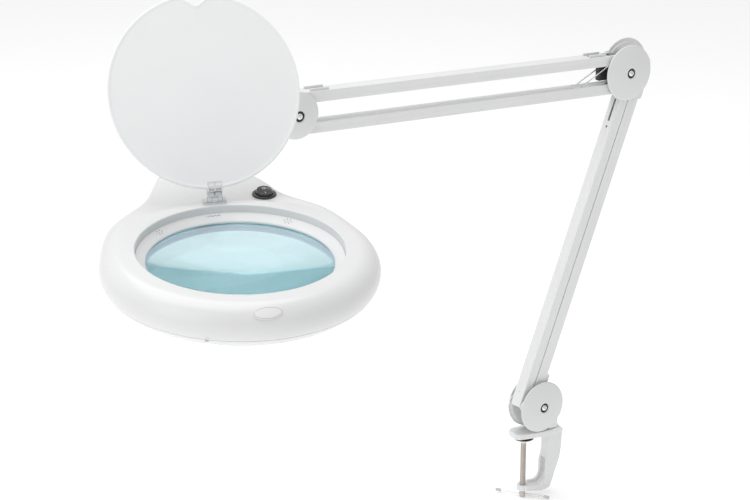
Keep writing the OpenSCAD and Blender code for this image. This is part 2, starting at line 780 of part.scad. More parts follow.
module hinge_base() color("white") in_hinge() difference() {
    union() {
        translate([-12, -2, rim_z - hinge_z + 0.02]) cube([24, 12, 1.2]);
        for (x = [-11.5, -3, 7.5]) translate([x, 0, 0]) {
            rotate([0, 90, 0]) cylinder(r = 2.6, h = x == -3 ? 6 : 4, $fn = 48);
            translate([0, -1.8, rim_z - hinge_z + 0.5]) cube([x == -3 ? 6 : 4, 6, 3]);
        }
    }
    rotate([0, 90, 0]) cylinder(r = 1.2 + fit, h = 60, center = true, $fn = 32);
}

module hinge_pin() color("silver") in_hinge() rotate([0, 90, 0])
    cylinder(r = 1.2, h = 23, center = true, $fn = 32);

// The lid stands open; in_lid has +Y from the hinge towards the lid's far edge.
module in_lid() {
    in_hinge() rotate([180 - lid_open, 0, 0]) children();
}

module lid() color("white") in_lid() difference() {
    translate([0, lid_c, lid_z]) cylinder(r = lid_r, h = lid_t, $fn = 180);
    translate([0, lid_c + lid_r + 2.5, -10]) cylinder(r = 14, h = 30, $fn = 64);
    translate([-leaf_w / 2 - 0.1, 0, -10]) cube([leaf_w + 0.2, lid_c - lid_r + 5, 30]);
}

// Leaf between the lid and the hinge pin: two barrels, a bridge over the rim and a dimpled tab.
module lid_hinge_leaf() color("white") in_lid() difference() {
    union() {
        for (x = [-leaf_w / 2, leaf_w / 2 - 4.1]) translate([x, 0, 0]) {
            rotate([0, 90, 0]) cylinder(r = 2.6, h = 4.1, $fn = 48);
            translate([0, 0, -2]) cube([4.1, 4, 4.3]);
        }
        translate([-leaf_w / 2, 3, 0]) cube([leaf_w, 8, 3.6]);
        translate([-leaf_w / 2, 10, 1]) cube([leaf_w, 12, lid_z - 1.02]);
        translate([-leaf_w / 2, 8, 1]) cube([leaf_w, 6.9, lid_z + lid_t - 1]);
    }
    rotate([0, 90, 0]) cylinder(r = 1.2 + fit, h = 60, center = true, $fn = 32);
    for (x = [-3.6, 3.6], y = [10.2, 13]) translate([x - 2, y - 0.9, lid_z + lid_t - 0.5]) cube([4, 1.8, 2]);
}

clamp_frame();
swivel_bush();
pad_cup();
pad_face();
clamp_screw();
tommy_bar();
tommy_bar_ends();
base_yoke();
base_pivot_pins();
base_front_cover();
base_back_cover();
base_cover_screws();
lower_main_bar();
lower_main_bushes();
lower_springs();
lower_spring_rods();
lower_guide_bar();
lower_guide_bushes();
lower_cable_guides();
elbow_yoke();
elbow_block();
elbow_pivot_pins();
elbow_front_cover();
elbow_back_cover();
elbow_cover_screws();
upper_main_bar();
upper_main_bushes();
upper_springs();
upper_spring_rods();
upper_guide_bar();
upper_guide_bushes();
upper_cable_guides();
head_knuckle_yoke();
head_knuckle_pins();
head_front_cover();
head_back_cover();
head_cover_screws();
head_bracket();
head_fork();
fork_washer();
tilt_bolt();
tilt_knob();
head_upper_shell();
head_lower_shell();
shell_screws();
lens();
lens_ring();
led_board();
leds();
diffuser();
blank_badge();
switch_body();
switch_rocker();
hinge_base();
hinge_pin();
lid();
lid_hinge_leaf();
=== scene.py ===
import math

import bmesh
import bpy
from mathutils import Matrix, Vector


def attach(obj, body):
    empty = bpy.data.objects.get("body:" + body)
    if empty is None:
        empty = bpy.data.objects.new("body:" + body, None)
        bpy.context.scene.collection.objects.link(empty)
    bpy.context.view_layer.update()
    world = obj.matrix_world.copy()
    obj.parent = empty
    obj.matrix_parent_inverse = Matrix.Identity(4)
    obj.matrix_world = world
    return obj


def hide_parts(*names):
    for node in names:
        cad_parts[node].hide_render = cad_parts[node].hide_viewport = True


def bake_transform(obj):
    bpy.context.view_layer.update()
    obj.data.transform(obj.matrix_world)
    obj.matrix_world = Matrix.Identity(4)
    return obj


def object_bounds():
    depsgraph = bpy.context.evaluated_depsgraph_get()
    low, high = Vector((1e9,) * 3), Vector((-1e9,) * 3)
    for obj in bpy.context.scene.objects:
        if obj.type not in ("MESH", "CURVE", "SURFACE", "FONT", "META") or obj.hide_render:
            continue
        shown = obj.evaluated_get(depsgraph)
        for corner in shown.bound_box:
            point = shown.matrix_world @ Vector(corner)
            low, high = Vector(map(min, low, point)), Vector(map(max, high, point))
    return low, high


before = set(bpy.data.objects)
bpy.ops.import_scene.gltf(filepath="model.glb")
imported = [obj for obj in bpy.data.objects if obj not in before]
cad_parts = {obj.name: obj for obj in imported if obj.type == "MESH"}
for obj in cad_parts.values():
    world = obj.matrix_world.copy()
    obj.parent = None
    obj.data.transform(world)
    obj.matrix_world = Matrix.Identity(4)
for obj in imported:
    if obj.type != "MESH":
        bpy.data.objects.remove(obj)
cad_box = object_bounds()

# ---------------------------------------------------------------- places, in mm
LOWER_LEN, UPPER_LEN = 414.0, 442.0
LOWER_LEAN, UPPER_RISE = 21.4, 2.66
COVER_Y = 12.0
BASE_C = Vector((17.8, 0, 40.1))
BASE_MAIN = BASE_C + Vector((-24.7, 0, 6))
LEAN = math.radians(LOWER_LEAN)
RISE = math.radians(UPPER_RISE)
ELBOW_MAIN = BASE_MAIN + LOWER_LEN * Vector((math.sin(LEAN), 0, math.cos(LEAN)))
ELBOW_C = ELBOW_MAIN + Vector((-9.2, 0, 4.4))
ELBOW_BACK = ELBOW_C + Vector((14.5, 0, 2))
ELBOW_LOW = ELBOW_C + Vector((-15.6, 0, -17.4))
KNUCKLE_LOW = ELBOW_LOW + UPPER_LEN * Vector((-math.cos(RISE), 0, math.sin(RISE)))
KNUCKLE_C = KNUCKLE_LOW + Vector((-2.4, 0, 16.8))
ANCHOR = ELBOW_C + Vector((-22, 0, 11.4))
TILT = KNUCKLE_C + Vector((-132.5, 0, -39.2))
NECK_LEN, HEAD_R, EDGE_R, RIM_Z, LENS_R = 245.0, 132.0, 21.0, 14.0, 88.6
MID_Z, HINGE_Y, HINGE_Z, LID_OPEN = -8.0, 105.0, 18.0, 118.0
SWITCH_AT, SWITCH_Z, ROCKER_R = (54, 121), 12.4, 8.8
LOWER_SPRING_Y, UPPER_SPRING_Y, SPRING_X, ROD_BACK = 3.3, 4.2, 110.0, 63.0
SWIVEL_X, CLAMP_TURN, SCREW_GAP = 42.0, -8.0, 37.5
TOMMY_Z, TOMMY_TURN, TOMMY_HALF = -77.5, -47.0, 31.0
COVER_RIM, COVER_DOME = 1.6, 4.6


def move(x, y=0.0, z=0.0):
    return Matrix.Translation(Vector(x) if not isinstance(x, (int, float)) else Vector((x, y, z)))


def turn(axis, degrees):
    return Matrix.Rotation(math.radians(degrees), 4, axis)


ROW = Matrix.Identity(4)
HEAD = move(TILT) @ turn("Z", -17.3) @ turn("X", 6.3) @ move(0, -NECK_LEN, -MID_Z)
HINGE = HEAD @ move(0, HINGE_Y, HINGE_Z)
LID = HINGE @ turn("X", 180 - LID_OPEN)
LOWER_MAIN = move(BASE_MAIN) @ turn("Y", LOWER_LEAN - 90)
UPPER_MAIN = move(KNUCKLE_LOW) @ turn("Y", UPPER_RISE)
CLAMP = move(SWIVEL_X, 0, 0) @ turn("Z", CLAMP_TURN) @ move(-SCREW_GAP, 0, 0)
TOMMY = CLAMP @ move(0, 0, TOMMY_Z) @ turn("Z", TOMMY_TURN) @ turn("Y", 90)


def side(at, s):
    return move(at.x, s * COVER_Y, at.z) @ turn("X", -90 * s)


# ---------------------------------------------------------------- materials
def tune(mat, values):
    """Sets uniform values on a material's main shader."""
    for socket, value in values.items():
        mat.node_tree.nodes["Principled BSDF"].inputs[socket].default_value = value


def shader(name, color, rough, metallic=0.0, coat=0.0, spec=0.5, grain=260.0, bump=0.05, tint=0.03,
           spread=0.08, stretch=None, patch=18.0):
    """A procedural finish: large soft patches of colour, fine grain in roughness and relief."""
    mat = bpy.data.materials.new(name)
    mat.use_nodes = True
    tree = mat.node_tree
    node = tree.nodes
    link = tree.links.new
    bsdf = node["Principled BSDF"]
    tune(mat, {"Metallic": metallic, "Coat Weight": coat, "Coat Roughness": 0.08, "Specular IOR Level": spec})
    place = node.new("ShaderNodeTexCoord")
    scale = node.new("ShaderNodeMapping")
    scale.inputs["Scale"].default_value = stretch or (1, 1, 1)
    link(place.outputs["Object"], scale.inputs["Vector"])
    broad = node.new("ShaderNodeTexNoise")
    broad.inputs["Scale"].default_value = patch
    broad.inputs["Detail"].default_value = 4
    link(place.outputs["Object"], broad.inputs["Vector"])
    fine = node.new("ShaderNodeTexNoise")
    fine.inputs["Scale"].default_value = grain
    fine.inputs["Detail"].default_value = 6
    link(scale.outputs["Vector"], fine.inputs["Vector"])
    ramp = node.new("ShaderNodeValToRGB")
    low = [max(0.0, c * (1 - tint)) for c in color]
    high = [min(1.0, c * (1 + tint * 0.6)) for c in color]
    ramp.color_ramp.elements[0].position, ramp.color_ramp.elements[1].position = 0.3, 0.7
    ramp.color_ramp.elements[0].color = (*low, 1)
    ramp.color_ramp.elements[1].color = (*high, 1)
    link(broad.outputs["Fac"], ramp.inputs["Fac"])
    link(ramp.outputs["Color"], bsdf.inputs["Base Color"])
    span = node.new("ShaderNodeMapRange")
    span.inputs["To Min"].default_value = max(0.02, rough - spread)
    span.inputs["To Max"].default_value = rough + spread
    link(fine.outputs["Fac"], span.inputs["Value"])
    link(span.outputs["Result"], bsdf.inputs["Roughness"])
    relief = node.new("ShaderNodeBump")
    relief.inputs["Strength"].default_value = bump
    relief.inputs["Distance"].default_value = 0.0004
    link(fine.outputs["Fac"], relief.inputs["Height"])
    link(relief.outputs["Normal"], bsdf.inputs["Normal"])
    return mat


COAT = shader("white_powder_coat", (0.78, 0.783, 0.786), 0.42, grain=900, bump=0.12, tint=0.02)
CAST = shader("white_painted_casting", (0.77, 0.773, 0.776), 0.46, grain=420, bump=0.18, tint=0.03)
SHELL = shader("white_moulded_shell", (0.76, 0.762, 0.765), 0.3, coat=0.15, grain=700, bump=0.03,
               tint=0.01)
COVER = shader("white_cover_plastic", (0.73, 0.733, 0.736), 0.34, coat=0.1, grain=700, bump=0.04,
               tint=0.012)
LID_MAT = shader("grey_white_lid", (0.90, 0.903, 0.906), 0.48, grain=1400, bump=0.05, tint=0.012)
STEEL = shader("turned_steel", (0.56, 0.52, 0.48), 0.36, 1.0, grain=500, bump=0.1, tint=0.08,
               stretch=(1, 1, 9))
PLATED = shader("plated_steel", (0.74, 0.73, 0.72), 0.2, 1.0, grain=600, bump=0.05, tint=0.04)
CHROME = shader("bright_chrome", (0.83, 0.83, 0.84), 0.08, 1.0, grain=900, bump=0.01, tint=0.02,
                spread=0.03)
BUSH = shader("grey_bush_plastic", (0.2, 0.2, 0.21), 0.5, grain=500, bump=0.08, tint=0.05)
# Light grey plastic; on the hinge leaf's dimple floors the same colour is painted shade.
GREY = shader("grey_plastic_and_dimple_shade", (0.55, 0.55, 0.56), 0.4, grain=500, bump=0.08, tint=0.04)
BLACK = shader("black_moulded_plastic", (0.018, 0.018, 0.02), 0.42, grain=600, bump=0.12, tint=0.15)
GLOSS = shader("black_gloss_plastic", (0.013, 0.013, 0.014), 0.2, coat=0.4, grain=800, bump=0.03, tint=0.1)
RUBBER = shader("pad_rubber", (0.03, 0.03, 0.03), 0.75, grain=900, bump=0.3, tint=0.15)
# Painted shade: near-black for the shadow gap round each cover screw.
SCREW_GAP_SHADE = shader("painted_gap_shade", (0.05, 0.05, 0.055), 0.7, grain=600, bump=0.05, tint=0.1)
VENT = shader("vent_shadow", (0.30, 0.30, 0.32), 0.6, grain=600, bump=0.05, tint=0.05)
BOARD = shader("lamp_board", (0.72, 0.75, 0.72), 0.4, grain=400, bump=0.05, tint=0.05, patch=60)
LED = shader("lamp_chip", (0.85, 0.78, 0.35), 0.25, grain=900, bump=0.05, tint=0.06, patch=200)
MARK = shader("printed_mark", (0.78, 0.78, 0.78), 0.4, grain=900, bump=0.02, tint=0.03)
PLATE = shader("badge_plate", (0.84, 0.84, 0.85), 0.25, coat=0.3, grain=900, bump=0.03, tint=0.02)
RIM = shader("badge_rim", (0.55, 0.55, 0.57), 0.25, 0.8, grain=900, bump=0.03, tint=0.03)
# The weak glow brings the floor up to a plain white ground.
FLOOR = shader("pale_floor", (0.93, 0.93, 0.93), 0.65, spec=0.2, grain=60, bump=0.02, tint=0.006, patch=1.5)
tune(FLOOR, {"Emission Color": (1, 1, 1, 1), "Emission Strength": 0.22})
FROST = shader("frosted_diffuser", (0.90, 0.91, 0.91), 0.5, grain=800, bump=0.15, tint=0.01)
tune(FROST, {"Subsurface Weight": 0.4, "Subsurface Radius": (0.004, 0.004, 0.004)})
# Lavender colour for the tube wall: a painted reflection of the lens, seen through the glass.
TUBE_PAINTED_REFLECTION = shader("lens_tube_painted_reflection", (0.96, 0.82, 0.92), 0.4, grain=700, bump=0.03, tint=0.02)


def lens_glass():
    """Clear glass, part of it a plain tint that lets light through to the tube below."""
    mat = shader("optical_glass", (0.80, 0.93, 0.96), 0.02, grain=40, bump=0.0, tint=0.01, spread=0.01)
    tune(mat, {"Transmission Weight": 1.0, "IOR": 1.52})
    tree = mat.node_tree
    clear = tree.nodes.new("ShaderNodeBsdfTransparent")
    clear.inputs["Color"].default_value = (0.42, 0.70, 0.74, 1)
    both = tree.nodes.new("ShaderNodeMixShader")
    both.inputs["Fac"].default_value = 0.25
    tree.links.new(tree.nodes["Principled BSDF"].outputs["BSDF"], both.inputs[1])
    tree.links.new(clear.outputs["BSDF"], both.inputs[2])
    tree.links.new(both.outputs["Shader"], tree.nodes["Material Output"].inputs["Surface"])
    return mat


def ground_edge_with_painted_glow():
    """The lens's ground edge in patchy teal, with a faint painted glow standing in for the light that gathers
    there through the glass.
    """
    mat = shader("lens_edge_painted_glow", (0.24, 0.50, 0.52), 0.5, grain=700, bump=0.03, tint=0.75, patch=28)
    # Painted light: the emission makes the edge glow although it is no lamp.
    tune(mat, {"Emission Strength": 0.8})
    tree = mat.node_tree
    tree.links.new(tree.nodes["Color Ramp"].outputs["Color"],
                   tree.nodes["Principled BSDF"].inputs["Emission Color"])
    return mat


GLASS = lens_glass()
EDGE_TINT_AND_GLOW = ground_edge_with_painted_glow()


# ---------------------------------------------------------------- mesh helpers
def piece(name, verts, faces, mat, body, place=ROW, replaces=(), sharp=35, merge=0.0):
    """A new object from points in mm, riding on a CAD body."""
    mesh = bpy.data.meshes.new(name)
    mesh.from_pydata([(place @ Vector(v)) * 0.001 for v in verts], [], faces)
    return dress(mesh, name, mat, body, replaces, sharp, merge)


def dress(mesh, name, mat, body, replaces=(), sharp=35, merge=0.0):
    bm = bmesh.new()
    bm.from_mesh(mesh)
    if merge:
        bmesh.ops.remove_doubles(bm, verts=bm.verts, dist=merge * 0.001)
    bmesh.ops.recalc_face_normals(bm, faces=bm.faces)
    bm.to_mesh(mesh)
    bm.free()
    mesh.shade_smooth()
    mesh.set_sharp_from_angle(angle=math.radians(sharp))
    mesh.materials.clear()
    mesh.materials.append(mat)
    obj = bpy.data.objects.new(name, mesh)
    bpy.context.scene.collection.objects.link(obj)
    if body:
        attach(obj, body)
    if replaces:
        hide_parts(*replaces)
    return obj


def fillet(points, radius, closed=True, steps=4):
    """Rounds the corners of a 2-D line of points."""
    out = []
    n = len(points)
    for i, p in enumerate(points):
        p = Vector(p)
        if not closed and i in (0, n - 1):
            out.append(p)
            continue
        a, b = Vector(points[i - 1]) - p, Vector(points[(i + 1) % n]) - p
        cut = min(radius, a.length * 0.45, b.length * 0.45)
        a, b = p + a.normalized() * cut, p + b.normalized() * cut
        for k in range(steps + 1):
            t = k / steps
            out.append((1 - t) ** 2 * a + 2 * t * (1 - t) * p + t * t * b)
    return out


def lathe(profile, n=96, closed=True, shape=None):
    """Turns a line of (radius, height) points about Z. shape(angle, radius) may change a radius."""
    verts, faces, rings = [], [], []
    for r, z in profile:
        if r < 1e-6:
            rings.append([len(verts)])
            verts.append((0, 0, z))
            continue
        rings.append(list(range(len(verts), len(verts) + n)))
        for k in range(n):
            a = 2 * math.pi * k / n
            q = shape(a, r) if shape else r
            verts.append((q * math.cos(a), q * math.sin(a), z))
    pairs = list(zip(rings, rings[1:])) + ([(rings[-1], rings[0])] if closed else [])
    for a, b in pairs:
        for k in range(n):
            j = (k + 1) % n
            if len(a) > 1 and len(b) > 1:
                faces.append((a[k], a[j], b[j], b[k]))
            elif len(a) > 1:
                faces.append((a[k], a[j], b[0]))
            elif len(b) > 1:
                faces.append((a[0], b[j], b[k]))
    return verts, faces


def joined(*parts):
    verts, faces = [], []
    for v, f in parts:
        k = len(verts)
        verts += [tuple(p) for p in v]
        faces += [tuple(i + k for i in q) for q in f]
    return verts, faces


def placed(part, place):
    return [tuple(place @ Vector(v)) for v in part[0]], part[1]


def slab(outline, z0, z1, radius=0.6, steps=3):
    """A plate with rounded edges from a counter-clockwise outline."""
    n = len(outline)
    pts = [Vector(p) for p in outline]
    inward = []
    for i in range(n):
        d = (pts[(i + 1) % n] - pts[i - 1]).normalized()
        inward.append(Vector((-d.y, d.x)))
    levels = []
    for k in range(steps + 1):
        a = math.pi / 2 * k / steps
        levels.append((radius * (1 - math.sin(a)), z0 + radius * (1 - math.cos(a))))
    for k in range(steps + 1):
        a = math.pi / 2 * k / steps
        levels.append((radius * (1 - math.cos(a)), z1 - radius * (1 - math.sin(a))))
    verts, faces = [], []
    for inset, z in levels:
        verts += [(*(p + w * inset), z) for p, w in zip(pts, inward)]
    for level in range(len(levels) - 1):
        for k in range(n):
            j = (k + 1) % n
            a, b = level * n, (level + 1) * n
            faces.append((a + k, a + j, b + j, b + k))
    faces.append(tuple(reversed(range(n))))
    faces.append(tuple(range((len(levels) - 1) * n, len(levels) * n)))
    return verts, faces


def block(size, radius=0.4, steps=2):
    """A box about the origin with rounded edges."""
    x, y, z = (s / 2 for s in size)
    corner = fillet([(-x, -y), (x, -y), (x, y), (-x, y)], radius, steps=3)
    return slab(corner, -z, z, min(radius, z * 0.9), steps)


def tube(path, radius, sides=8):
    """A round tube along a path of points, with flat ends."""
    path = [Vector(p) for p in path]
    verts, faces = [], []
    normal = None
    for i, p in enumerate(path):
        d = (path[min(i + 1, len(path) - 1)] - path[max(i - 1, 0)]).normalized()
        if normal is None:
            normal = d.orthogonal().normalized()
        normal = (normal - d * normal.dot(d)).normalized()
        other = d.cross(normal)
        for k in range(sides):
            a = 2 * math.pi * k / sides
            verts.append(tuple(p + radius * (math.cos(a) * normal + math.sin(a) * other)))
    for i in range(len(path) - 1):
        for k in range(sides):
            j = (k + 1) % sides
            faces.append((i * sides + k, i * sides + j, (i + 1) * sides + j, (i + 1) * sides + k))
    faces.append(tuple(reversed(range(sides))))
    faces.append(tuple(range((len(path) - 1) * sides, len(path) * sides)))
    return verts, faces


def copy_of(node):
    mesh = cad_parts[node].data.copy()
    bm = bmesh.new()
    bm.from_mesh(mesh)
    bmesh.ops.remove_doubles(bm, verts=bm.verts, dist=2e-6)
    bmesh.ops.dissolve_limit(bm, angle_limit=math.radians(1.0), verts=bm.verts, edges=bm.edges)
    bm.to_mesh(mesh)
    bm.free()
    return mesh


def settled(obj):
    """Applies an object's modifiers."""
    bpy.context.view_layer.update()
    seen = obj.evaluated_get(bpy.context.evaluated_depsgraph_get())
    mesh = bpy.data.meshes.new_from_object(seen)
    bpy.data.objects.remove(obj)
    return mesh


def bevelled(node, mat, body, width=0.5, steps=3, sharp=35):
    """A CAD node with its edges broken, as pressed, turned or moulded parts have."""
    mesh = copy_of(node)
    obj = bpy.data.objects.new("work", mesh)
    bpy.context.scene.collection.objects.link(obj)
    mod = obj.modifiers.new("edge", "BEVEL")
    mod.width = width * 0.001
    mod.segments = steps
    mod.limit_method = "ANGLE"
    mod.angle_limit = math.radians(30)
    mod.harden_normals = False
    mesh = settled(obj)
    return dress(mesh, node + "_finished", mat, body, (node,), sharp)


def casting(node, mat, body, voxel=0.7, passes=6):
    """A CAD node with soft cast corners."""
    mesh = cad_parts[node].data.copy()
    obj = bpy.data.objects.new("work", mesh)
    bpy.context.scene.collection.objects.link(obj)
    mod = obj.modifiers.new("skin", "REMESH")
    mod.mode = "VOXEL"
    mod.voxel_size = voxel * 0.001
    soft = obj.modifiers.new("soft", "SMOOTH")
    soft.factor = 0.5
    soft.iterations = passes
    thin = obj.modifiers.new("thin", "DECIMATE")
    thin.decimate_type = "COLLAPSE"
    thin.ratio = 0.5
    mesh = settled(obj)
    return dress(mesh, node + "_cast", mat, body, (node,), 60)


def ease(t):
    t = min(1.0, max(0.0, t))
    return t * t * (3 - 2 * t)


# ---------------------------------------------------------------- clamp
casting("clamp_frame", CAST, "clamp", 0.65, 7)
bevelled("swivel_bush", BUSH, "clamp", 0.25)
cup = [(2.1, -8.6), (4.6, -8.6), (4.6, -4.1), (12.5, -4.1), (12.5, -3.1), (3.1, -3.1), (3.1, -7.6),
       (2.1, -7.6)]
verts, faces = lathe(fillet(cup, 0.4))
piece("pad_cup_pressed", verts, faces, PLATED, "pad", CLAMP, ("pad_cup",))
ribs = []
for k in range(6):
    ribs += [(r - 1.9 * k, z) for r, z in ((11.8, -2.35), (11.2, -2.1), (10.6, -2.1), (10.2, -2.35))]
pad_edge = [(0, -3.1), (12.5, -3.1), (12.5, -2.4), (12.2, -2.2)]
verts, faces = lathe(pad_edge + ribs + [(0, -2.1)], closed=False)
piece("pad_face_ribbed", verts, faces, RUBBER, "pad", CLAMP, ("pad_face",))


def threaded(radius, pitch, depth, z0, z1, n=36, per_turn=8):
    """A screw thread as one helicoid skin, with plain ends."""
    verts, faces = [], []
    rows = int((z1 - z0) / pitch * per_turn)
    for i in range(rows + 1):
        z = z0 + (z1 - z0) * i / rows
        fade = min(1, (z - z0) / pitch, (z1 - z) / pitch)
        for k in range(n):
            a = 2 * math.pi * k / n
            t = (z / pitch - k / n) % 1.0
            groove = depth * max(0.0, 1 - abs(t - 0.5) * 2.4)
            r = radius - groove * fade
            verts.append((r * math.cos(a), r * math.sin(a), z))
    for i in range(rows):
        for k in range(n):
            j = (k + 1) % n
            faces.append((i * n + k, i * n + j, (i + 1) * n + j, (i + 1) * n + k))
    return verts, faces


ball = [(3 * math.cos(a), -5.6 + 3 * math.sin(a)) for a in [math.radians(-45 + 13.5 * k) for k in range(9)]]
verts, faces = joined(
    lathe(fillet([(0, -81), (3.5, -81), (3.5, -74)], 0.5, closed=False), closed=False),
    threaded(3.5, 1.5, 0.45, -74, -9.5),
    lathe([(3.5, -9.5), (3.5, -8.7), (2, -8.65)] + ball + [(0, -3.65)], closed=False))
piece("clamp_screw_threaded", verts, faces, STEEL, "screw", CLAMP, ("clamp_screw",), merge=0.001)
bar_line = [(0, -TOMMY_HALF), (1.25, -TOMMY_HALF), (1.25, TOMMY_HALF), (0, TOMMY_HALF)]
verts, faces = lathe(fillet(bar_line, 0.3, closed=False), 24, closed=False)
piece("tommy_bar_turned", verts, faces, PLATED, "tommy", TOMMY, ("tommy_bar",))
knob = fillet([(0, -3.5), (2, -3.5), (2, 3.5), (0, 3.5)], 1.1, closed=False)
verts, faces = joined(*[placed(lathe(knob, 32, closed=False), move(0, 0, s * (TOMMY_HALF - 0.5)))
                        for s in (-1, 1)])
piece("tommy_bar_knobs", verts, faces, GREY, "tommy", TOMMY, ("tommy_bar_ends",))


# ---------------------------------------------------------------- knuckles
def cover_disc(r):
    """A domed cover: soft rim, dome and the screw's seat in the middle."""
    ball = (r * r + COVER_DOME * COVER_DOME) / (2 * COVER_DOME)

    def high(q):
        return COVER_RIM + COVER_DOME - (ball - math.sqrt(ball * ball - q * q))

    out = [(r - 1.6, 0), (r - 0.35, 0), (r, 0.35), (r, 0.8), (r - 0.2, 1.25), (r - 0.6, 1.6),
           (r - 1.2, high(r - 1.2))]
    steps = 26
    for k in range(1, steps + 1):
        q = r - 1.2 - (r - 1.2 - 6.9) * k / steps
        out.append((q, high(q)))
    out += [(6.5, high(6.5) - 0.12), (6.1, high(6) - 0.5), (5.8, high(6) - 1.6), (5.6, 3.3), (5.2, 3.1),
            (2.1, 3.1), (2.1, 0.4)]
    return lathe(out, 128)


def hexagon(a, r):
    if r > 1.45:
        return r
    m = (a % (math.pi / 3)) - math.pi / 6
    return r * math.cos(math.pi / 6) / math.cos(m)


def button_screw():
    profile = [(2, -1.9), (2, 3.3), (3.6, 3.3), (3.9, 3.6), (3.9, 4.1), (3.6, 5.1), (3.0, 5.9), (2.2, 6.4),
               (1.4, 6.6), (1.3, 6.5), (1.25, 5.4), (0, 5.3)]
    return lathe(profile, 48, closed=False, shape=hexagon)


for name, at, s, r, body in (
        ("base_front_cover", BASE_C, -1, 31.5, "base_knuckle"),
        ("base_back_cover", BASE_C, 1, 31.5, "base_knuckle"),
        ("elbow_front_cover", ELBOW_C, -1, 33.0, "elbow"),
        ("elbow_back_cover", ELBOW_BACK, 1, 33.0, "elbow"),
        ("head_front_cover", KNUCKLE_C, -1, 26.0, "head_knuckle"),
        ("head_back_cover", KNUCKLE_C, 1, 26.0, "head_knuckle")):
    verts, faces = cover_disc(r)
    piece(name + "_domed", verts, faces, COVER, body, side(at, s), (name,), 30)
for name, front, back, body in (
        ("base", BASE_C, BASE_C, "base_knuckle"), ("elbow", ELBOW_C, ELBOW_BACK, "elbow"),
        ("head", KNUCKLE_C, KNUCKLE_C, "head_knuckle")):
    verts, faces = joined(placed(button_screw(), side(front, -1)), placed(button_screw(), side(back, 1)))
    piece(name + "_button_screws", verts, faces, CHROME, body, ROW, (name + "_cover_screws",), 30)
    # A thin near-black ring round each screw head, painted shade of the gap there.
    seat = lathe([(2.1, 3.1), (5.4, 3.1), (5.7, 4.6), (5.3, 4.6), (5.1, 3.3), (2.1, 3.25)], 64)
    verts, faces = joined(placed(seat, side(front, -1)), placed(seat, side(back, 1)))
    piece(name + "_screw_gap_shade", verts, faces, SCREW_GAP_SHADE, body)
casting("base_yoke", CAST, "base_knuckle", 0.6, 3)
bevelled("elbow_yoke", CAST, "elbow", 0.5)
bevelled("elbow_block", BLACK, "elbow", 0.5)
bevelled("head_knuckle_yoke", CAST, "head_knuckle", 0.5)
casting("head_bracket", CAST, "head_knuckle", 0.7, 6)
casting("head_fork", CAST, "head_fork", 0.6, 4)
bevelled("fork_washer", CHROME, "head_fork", 0.25)
bevelled("tilt_bolt", CHROME, "head_fork", 0.3)
bevelled("tilt_knob", BLACK, "tilt_knob", 0.9)

# ---------------------------------------------------------------- arms
for node, body in (("lower_main_bar", "lower_main"), ("lower_guide_bar", "lower_guide"),
                   ("upper_main_bar", "upper_main"), ("upper_guide_bar", "upper_guide")):
    bevelled(node, COAT, body, 0.7)
plug = lathe([(0, 5.5), (1.5, 5.5), (1.5, 5.0), (0, 5.0)], 24, closed=False)
verts, faces = placed(plug, move(14, 0, 0))
piece("lower_bar_plug", verts, faces, COAT, "lower_main", LOWER_MAIN)
for node, body in (("lower_cable_guides", "lower_guide"), ("upper_cable_guides", "upper_guide")):
    bevelled(node, COVER, body, 0.35)


def coil(x0, x1, y):
    """A close-wound extension spring along X with a hook at each end."""
    path = [(x0 - 4, y, -0.6), (x0 - 2, y, -0.6)]
    turns = int((x1 - x0) / 1.15)
    steps = 9
    for i in range(turns * steps + 1):
        a = 2 * math.pi * i / steps
        x = x0 + (x1 - x0) * i / (turns * steps)
        path.append((x, y + 2.65 * math.cos(a), -0.6 + 2.65 * math.sin(a)))
    path += [(x1 + 2, y, -0.6), (x1 + 4, y, -0.6)]
    return tube(path, 0.45, 5)


for node, body, place, far, y in (
        ("lower_springs", "lower_main", LOWER_MAIN, LOWER_LEN - 80, LOWER_SPRING_Y),
        ("upper_springs", "upper_main", UPPER_MAIN, UPPER_LEN - ROD_BACK, UPPER_SPRING_Y)):
    verts, faces = joined(coil(SPRING_X, far, -y), coil(SPRING_X, far, y))
    piece(node + "_wound", verts, faces, PLATED, body, place, (node,), 60)


def rods(place, pairs):
    parts = []
    for a, b in pairs:
        a, b = Vector(a), Vector(b)
        steps = max(2, int((b - a).length / 4))
        parts.append(tube([a.lerp(b, k / steps) for k in range(steps + 1)], 0.8, 12))
    return placed(joined(*parts), place)


def pair_of_rods(x0, x1, y):
    return [((x0, s * y, -0.6), (x1, s * y, -0.6)) for s in (-1, 1)]


def back_rods(y):
    """The two rods behind a pair of springs and the cross pin that holds them."""
    return pair_of_rods(20, SPRING_X + 0.5, y) + [((20, -y - 2, -0.6), (20, y + 2, -0.6))]


far_rods = pair_of_rods(LOWER_LEN - 80.5, LOWER_LEN - 9.5, LOWER_SPRING_Y)
verts, faces = rods(LOWER_MAIN, back_rods(LOWER_SPRING_Y) + far_rods)
piece("lower_spring_wires", verts, faces, PLATED, "lower_main", ROW, ("lower_spring_rods",))
verts, faces = rods(UPPER_MAIN, back_rods(UPPER_SPRING_Y))
piece("upper_anchor_wires", verts, faces, PLATED, "upper_main")
start = UPPER_MAIN @ Vector((UPPER_LEN - ROD_BACK, 0, -0.6))
pull = ANCHOR - start
tip = start + pull * (1 - 1.6 / pull.length)
verts, faces = rods(ROW, [((start.x, y, start.z), (tip.x, y, tip.z)) for y in (-5.2, 5.2)])
wires = piece("upper_pull_wires", verts, faces, PLATED, None, ROW, ("upper_spring_rods",))
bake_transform(wires)

# ---------------------------------------------------------------- head shells
def smooth_max(a, b, k):
    h = max(k - abs(a - b), 0) / k if k > 0 else 0
    return max(a, b) + h * h * k / 4


